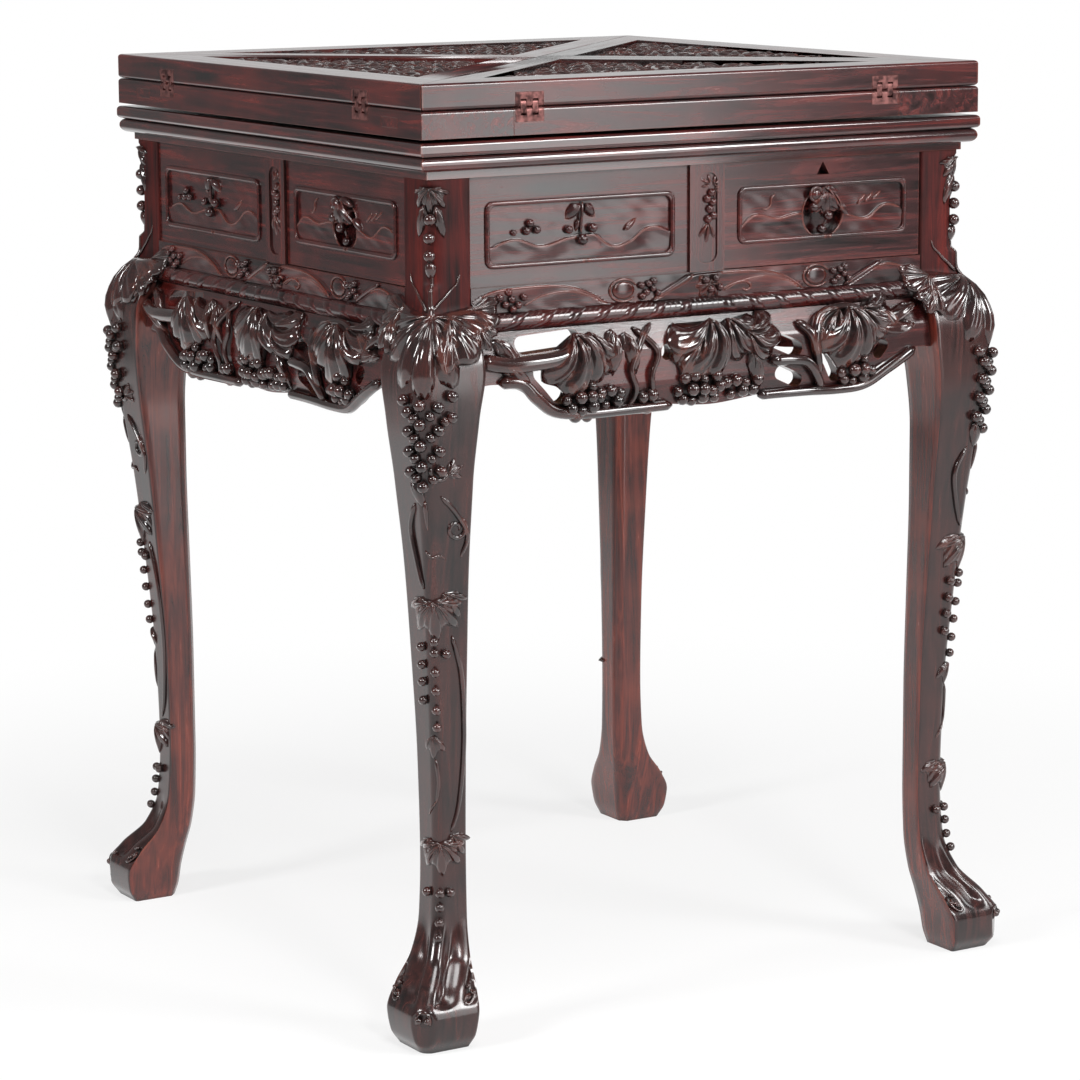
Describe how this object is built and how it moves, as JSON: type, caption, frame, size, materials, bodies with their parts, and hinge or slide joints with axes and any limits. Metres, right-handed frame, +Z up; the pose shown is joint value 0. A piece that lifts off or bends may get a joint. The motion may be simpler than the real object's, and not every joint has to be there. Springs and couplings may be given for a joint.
{
  "type": "card table",
  "caption": "Square carved hardwood card table with an envelope top: triangular flaps fold out of a turning board over a case with drawers, a pierced apron and cabriole legs.",
  "frame": {"origin": "middle of the floor under the table", "axes": "+Z up, the front face looks along -Y"},
  "size_m": [0.5948, 0.5948, 0.776],
  "materials": {
    "rosewood": "dark polished rosewood",
    "secondary_wood": "plain unpolished wood",
    "hinge_brass": "worn, tarnished",
    "pivot_steel": "plain turned"
  },
  "bodies": {
    "frame": {"leg_front_left": "rosewood", "leg_front_right": "rosewood", "leg_back_right": "rosewood", "leg_back_left": "rosewood", "lower_rail_front": "rosewood", "lower_rail_right": "rosewood", "lower_rail_back": "rosewood", "lower_rail_left": "rosewood", "apron_front": "rosewood", "apron_right": "rosewood", "apron_back": "rosewood", "apron_left": "rosewood", "cornice_front": "rosewood", "cornice_right": "rosewood", "cornice_back": "rosewood", "cornice_left": "rosewood", "blind_panel_front": "rosewood", "blind_panel_right": "rosewood", "blind_panel_back": "rosewood", "blind_panel_left": "rosewood", "dividers": "rosewood", "dust_board": "secondary_wood", "drawer_runners": "secondary_wood", "pivot_bearer": "secondary_wood", "pivot_disc": "secondary_wood"},
    "turning_top": {"board_side_rails": "rosewood", "board_end_rails": "rosewood", "board_panel": "rosewood", "board_batten": "secondary_wood", "pivot_bolt": "pivot_steel", "pivot_nut": "pivot_steel", "board_hinge_leaves": "hinge_brass"},
    "links_front": {"hinge_links_front": "hinge_brass"},
    "flap_front": {"flap_front_frame": "rosewood", "flap_front_panel": "rosewood", "flap_front_hinge_leaves": "hinge_brass"},
    "drawer_front": {"drawer_face_front": "rosewood", "drawer_box_front": "secondary_wood", "drawer_bottom_front": "secondary_wood"},
    "links_right": {"hinge_links_right": "hinge_brass"},
    "flap_right": {"flap_right_frame": "rosewood", "flap_right_panel": "rosewood", "flap_right_hinge_leaves": "hinge_brass"},
    "drawer_right": {"drawer_face_right": "rosewood", "drawer_box_right": "secondary_wood", "drawer_bottom_right": "secondary_wood"},
    "links_back": {"hinge_links_back": "hinge_brass"},
    "flap_back": {"flap_back_frame": "rosewood", "flap_back_panel": "rosewood", "flap_back_hinge_leaves": "hinge_brass"},
    "drawer_back": {"drawer_face_back": "rosewood", "drawer_box_back": "secondary_wood", "drawer_bottom_back": "secondary_wood"},
    "links_left": {"hinge_links_left": "hinge_brass"},
    "flap_left": {"flap_left_frame": "rosewood", "flap_left_panel": "rosewood", "flap_left_hinge_leaves": "hinge_brass"},
    "drawer_left": {"drawer_face_left": "rosewood", "drawer_box_left": "secondary_wood", "drawer_bottom_left": "secondary_wood"}
  },
  "joints": [
    {"name": "top_swivel", "type": "hinge", "parent": "frame", "child": "turning_top", "pos_m": [0, 0, 0.7301], "axis": [0, 0, 1], "range_deg": [-45, 45]},
    {"name": "front_link_fold", "type": "hinge", "parent": "turning_top", "child": "links_front", "pos_m": [0, -0.2695, 0.7516], "axis": [1, 0, 0], "range_deg": [0, 90]},
    {"name": "front_flap_fold", "type": "hinge", "parent": "links_front", "child": "flap_front", "pos_m": [0, -0.2695, 0.758], "axis": [1, 0, 0], "range_deg": [0, 90]},
    {"name": "front_drawer_slide", "type": "slide", "parent": "frame", "child": "drawer_front", "axis": [0, -1, 0], "range_m": [0, 0.17]},
    {"name": "right_link_fold", "type": "hinge", "parent": "turning_top", "child": "links_right", "pos_m": [0.2695, 0, 0.7516], "axis": [0, 1, 0], "range_deg": [0, 90]},
    {"name": "right_flap_fold", "type": "hinge", "parent": "links_right", "child": "flap_right", "pos_m": [0.2695, 0, 0.758], "axis": [0, 1, 0], "range_deg": [0, 90]},
    {"name": "right_drawer_slide", "type": "slide", "parent": "frame", "child": "drawer_right", "axis": [1, 0, 0], "range_m": [0, 0.17]},
    {"name": "back_link_fold", "type": "hinge", "parent": "turning_top", "child": "links_back", "pos_m": [0, 0.2695, 0.7516], "axis": [-1, 0, 0], "range_deg": [0, 90]},
    {"name": "back_flap_fold", "type": "hinge", "parent": "links_back", "child": "flap_back", "pos_m": [0, 0.2695, 0.758], "axis": [-1, 0, 0], "range_deg": [0, 90]},
    {"name": "back_drawer_slide", "type": "slide", "parent": "frame", "child": "drawer_back", "axis": [0, 1, 0], "range_m": [0, 0.17]},
    {"name": "left_link_fold", "type": "hinge", "parent": "turning_top", "child": "links_left", "pos_m": [-0.2695, 0, 0.7516], "axis": [0, -1, 0], "range_deg": [0, 90]},
    {"name": "left_flap_fold", "type": "hinge", "parent": "links_left", "child": "flap_left", "pos_m": [-0.2695, 0, 0.758], "axis": [0, -1, 0], "range_deg": [0, 90]},
    {"name": "left_drawer_slide", "type": "slide", "parent": "frame", "child": "drawer_left", "axis": [-1, 0, 0], "range_m": [0, 0.17]}
  ],
  "couplings": [
    {"joint": "front_flap_fold", "follows": "front_link_fold", "ratio": 1},
    {"joint": "right_flap_fold", "follows": "right_link_fold", "ratio": 1},
    {"joint": "back_flap_fold", "follows": "back_link_fold", "ratio": 1},
    {"joint": "left_flap_fold", "follows": "left_link_fold", "ratio": 1}
  ]
}
